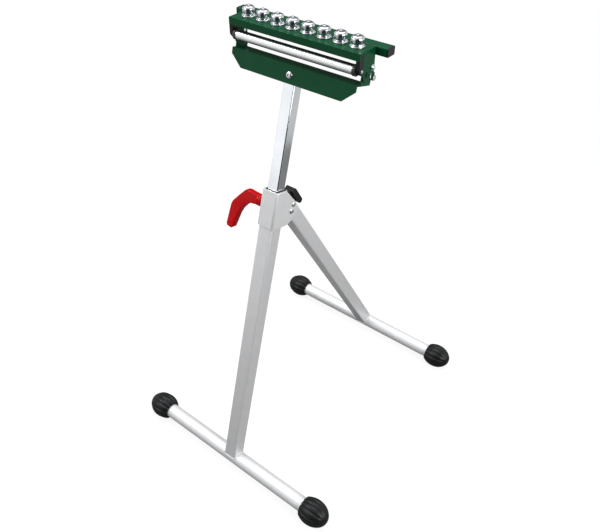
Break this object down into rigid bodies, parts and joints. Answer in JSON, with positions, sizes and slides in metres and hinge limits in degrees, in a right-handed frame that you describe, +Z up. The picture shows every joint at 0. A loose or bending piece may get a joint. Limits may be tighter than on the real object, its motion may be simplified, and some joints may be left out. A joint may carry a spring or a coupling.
{
  "type": "folding roller support stand",
  "caption": "Folding A-frame work stand with a clamped telescopic mast and a tilting head that carries a roller, ball casters and a flat rail.",
  "frame": {"origin": "on the floor, midway between the front and rear foot bars and midway along them", "axes": "+Z up; the roller and the front foot bar are on the -Y side; the foot bars and the head run along X"},
  "size_m": [0.512, 0.596, 0.9245],
  "materials": {
    "bar_silver": "silver powder coat, satin",
    "tube_silver": "silver powder coat, satin",
    "bracket_silver": "silver powder coat, satin",
    "mast_bright": "bright zinc plate, semi-gloss",
    "cap_rubber": "black rubber, fluted, satin",
    "black_plastic": "black moulded plastic, matt",
    "latch_plastic": "black glass-filled nylon, satin",
    "red_plastic": "red moulded plastic, glossy",
    "nylon": "natural nylon, matt",
    "zinc": "bright zinc plate",
    "green_paint": "dark green powder coat, satin",
    "roller_steel": "ground steel, semi-gloss",
    "roller_plastic": "black moulded plastic, satin",
    "bronze": "sintered bronze",
    "caster_chrome": "bright plated pressed steel",
    "ball_steel": "polished bearing steel"
  },
  "bodies": {
    "base_frame": {"front_bar": "bar_silver", "front_cap_left": "cap_rubber", "front_cap_right": "cap_rubber", "column": "tube_silver", "column_bush": "black_plastic", "bracket": "bracket_silver", "clamp_boss": "bracket_silver", "pressure_pad": "nylon", "leg_pivot_bolt": "zinc", "leg_pivot_nut": "zinc", "leg_washers": "nylon", "latch_bolt": "zinc", "latch_nut": "zinc", "latch_sleeve": "zinc", "latch_spring": "zinc"},
    "rear_leg": {"leg_tube": "tube_silver", "rear_bar": "bar_silver", "rear_cap_left": "cap_rubber", "rear_cap_right": "cap_rubber"},
    "latch": {"leg_latch": "latch_plastic"},
    "lever": {"clamp_lever": "red_plastic", "clamp_screw": "zinc"},
    "mast": {"mast_tube": "mast_bright", "mast_glide": "black_plastic", "base_bracket": "green_paint", "head_bolt": "zinc", "head_bolt_nut": "zinc", "tilt_pivot_pins": "green_paint"},
    "head": {"head_channel": "green_paint", "end_plate_bolts": "zinc", "finger_pins": "zinc", "roller_blocks": "black_plastic", "support_rail": "green_paint", "rail_plug_left": "black_plastic", "rail_plug_right": "black_plastic", "roller_axle": "zinc", "caster_cup_1": "caster_chrome", "caster_cup_2": "caster_chrome", "caster_cup_3": "caster_chrome", "caster_cup_4": "caster_chrome", "caster_cup_5": "caster_chrome", "caster_cup_6": "caster_chrome", "caster_cup_7": "caster_chrome", "caster_cup_8": "caster_chrome", "caster_liners": "nylon", "caster_nuts": "zinc"},
    "roller": {"roller_tube": "roller_steel", "roller_end_left": "roller_plastic", "roller_end_right": "roller_plastic", "roller_bearings": "bronze"},
    "ball_1": {"ball_1": "ball_steel"},
    "ball_2": {"ball_2": "ball_steel"},
    "ball_3": {"ball_3": "ball_steel"},
    "ball_4": {"ball_4": "ball_steel"},
    "ball_5": {"ball_5": "ball_steel"},
    "ball_6": {"ball_6": "ball_steel"},
    "ball_7": {"ball_7": "ball_steel"},
    "ball_8": {"ball_8": "ball_steel"}
  },
  "joints": [
    {"name": "leg_fold", "type": "hinge", "parent": "base_frame", "child": "rear_leg", "pos_m": [0, -0.07848, 0.59734], "axis": [1, 0, 0], "range_deg": [-46, 0]},
    {"name": "latch_lift", "type": "hinge", "parent": "base_frame", "child": "latch", "pos_m": [0, -0.07262, 0.60856], "axis": [1, 0, 0], "range_deg": [0, 20], "stiffness_Nm_per_rad": 0.12, "springref_deg": -8.59},
    {"name": "clamp_turn", "type": "hinge", "parent": "base_frame", "child": "lever", "pos_m": [-0.02, -0.10867, 0.61773], "axis": [1, 0, 0], "range_deg": [-150, 0]},
    {"name": "mast_slide", "type": "slide", "parent": "base_frame", "child": "mast", "axis": [0, 0.2639, 0.9646], "range_m": [-0.15, 0.075]},
    {"name": "head_tilt", "type": "hinge", "parent": "mast", "child": "head", "pos_m": [0, -0.035, 0.8685], "axis": [1, 0, 0], "range_deg": [-90, 0]},
    {"name": "roller_spin", "type": "hinge", "parent": "head", "child": "roller", "pos_m": [0, -0.051, 0.8787], "axis": [1, 0, 0], "continuous": true},
    {"name": "ball_1_roll", "type": "hinge", "parent": "head", "child": "ball_1", "pos_m": [-0.105, -0.033, 0.9185], "axis": [1, 0, 0], "continuous": true},
    {"name": "ball_2_roll", "type": "hinge", "parent": "head", "child": "ball_2", "pos_m": [-0.075, -0.033, 0.9185], "axis": [1, 0, 0], "continuous": true},
    {"name": "ball_3_roll", "type": "hinge", "parent": "head", "child": "ball_3", "pos_m": [-0.045, -0.033, 0.9185], "axis": [1, 0, 0], "continuous": true},
    {"name": "ball_4_roll", "type": "hinge", "parent": "head", "child": "ball_4", "pos_m": [-0.015, -0.033, 0.9185], "axis": [1, 0, 0], "continuous": true},
    {"name": "ball_5_roll", "type": "hinge", "parent": "head", "child": "ball_5", "pos_m": [0.015, -0.033, 0.9185], "axis": [1, 0, 0], "continuous": true},
    {"name": "ball_6_roll", "type": "hinge", "parent": "head", "child": "ball_6", "pos_m": [0.045, -0.033, 0.9185], "axis": [1, 0, 0], "continuous": true},
    {"name": "ball_7_roll", "type": "hinge", "parent": "head", "child": "ball_7", "pos_m": [0.075, -0.033, 0.9185], "axis": [1, 0, 0], "continuous": true},
    {"name": "ball_8_roll", "type": "hinge", "parent": "head", "child": "ball_8", "pos_m": [0.105, -0.033, 0.9185], "axis": [1, 0, 0], "continuous": true}
  ]
}
